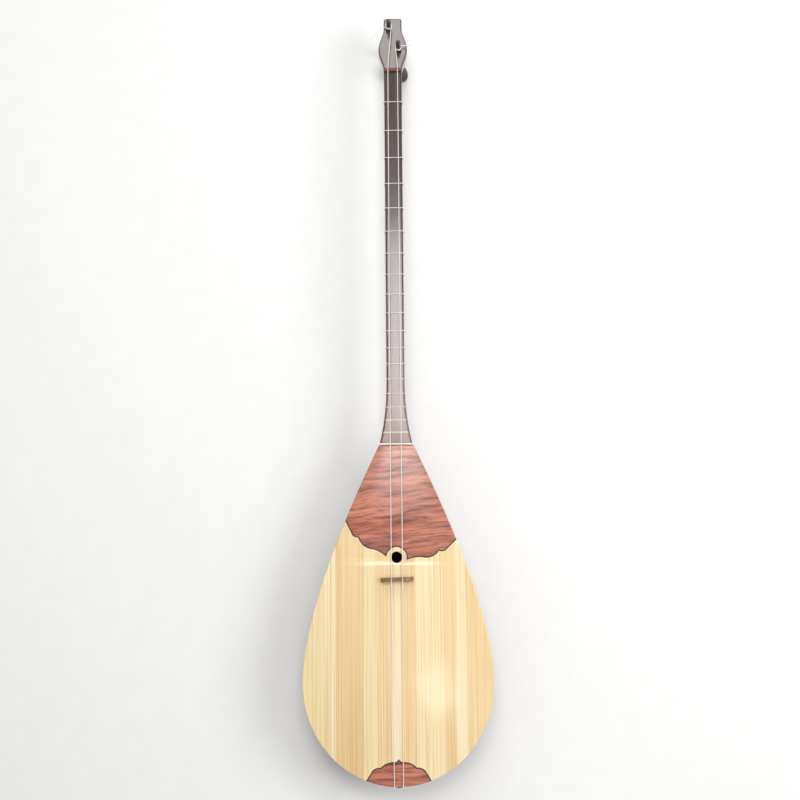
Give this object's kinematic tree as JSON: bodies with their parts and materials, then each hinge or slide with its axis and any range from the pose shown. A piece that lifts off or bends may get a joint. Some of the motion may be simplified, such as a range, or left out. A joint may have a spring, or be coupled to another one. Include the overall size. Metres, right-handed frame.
{
  "type": "dombra",
  "caption": "Long-necked plucked lute with a staved pear-shaped bowl, spruce soundboard, scalloped inlays, turning pegs and a sliding bridge.",
  "frame": {"origin": "middle of the flat on the central stave, where the bowl rests", "axes": "+X to the right seen from the front, +Y from the body to the head, +Z out of the soundboard"},
  "size_m": [0.2036, 0.8635, 0.0771],
  "materials": {
    "spruce": "gloss",
    "red_wood": "gloss",
    "black_line": "gloss",
    "neck_wood": "gloss",
    "head_wood": "gloss",
    "bowl_wood": "gloss",
    "inner_wood": "raw",
    "bridge_wood": "satin",
    "nut_wood": "satin",
    "peg_wood": "gloss",
    "nylon": "clear gloss",
    "bone": "polished"
  },
  "bodies": {
    "body": {"headstock": "head_wood", "neck": "neck_wood", "fingerboard": "neck_wood", "nut": "nut_wood", "soundboard": "spruce", "upper_plate": "red_wood", "lower_plate": "red_wood", "purfling_upper": "black_line", "purfling_lower": "black_line", "tail_cap": "neck_wood", "tail_pin": "peg_wood", "neck_block": "inner_wood", "tail_block": "inner_wood", "lining_left": "inner_wood", "lining_right": "inner_wood", "brace_upper": "inner_wood", "brace_middle": "inner_wood", "brace_lower": "inner_wood", "strings": "nylon", "rib_1": "bowl_wood", "rib_2": "bowl_wood", "rib_3": "bowl_wood", "rib_4": "bowl_wood", "rib_5": "bowl_wood", "rib_6": "bowl_wood", "rib_7": "bowl_wood", "rib_8": "bowl_wood", "rib_9": "bowl_wood", "fret_01": "nylon", "fret_02": "nylon", "fret_03": "nylon", "fret_04": "nylon", "fret_05": "nylon", "fret_06": "nylon", "fret_07": "nylon", "fret_08": "nylon", "fret_09": "nylon", "fret_10": "nylon", "fret_11": "nylon", "fret_12": "nylon", "fret_13": "nylon", "fret_14": "nylon", "fret_15": "nylon", "fret_16": "nylon", "fret_17": "bone", "fret_18": "bone", "fret_19": "bone"},
    "bridge": {"bridge": "bridge_wood"},
    "peg_left": {"peg_left": "peg_wood", "winding_left": "nylon"},
    "peg_right": {"peg_right": "peg_wood", "winding_right": "nylon"}
  },
  "joints": [
    {"name": "peg_left_turn", "type": "hinge", "parent": "body", "child": "peg_left", "pos_m": [-0.0046, 0.70816, 0.05558], "axis": [0, 0.1736, 0.9848], "continuous": true},
    {"name": "peg_right_turn", "type": "hinge", "parent": "body", "child": "peg_right", "pos_m": [0.0066, 0.6797, 0.0606], "axis": [0, 0.1736, 0.9848], "continuous": true},
    {"name": "bridge_slide", "type": "slide", "parent": "body", "child": "bridge", "axis": [0, -1, 0], "range_m": [0, 0.0681], "deforming": ["strings"]}
  ]
}
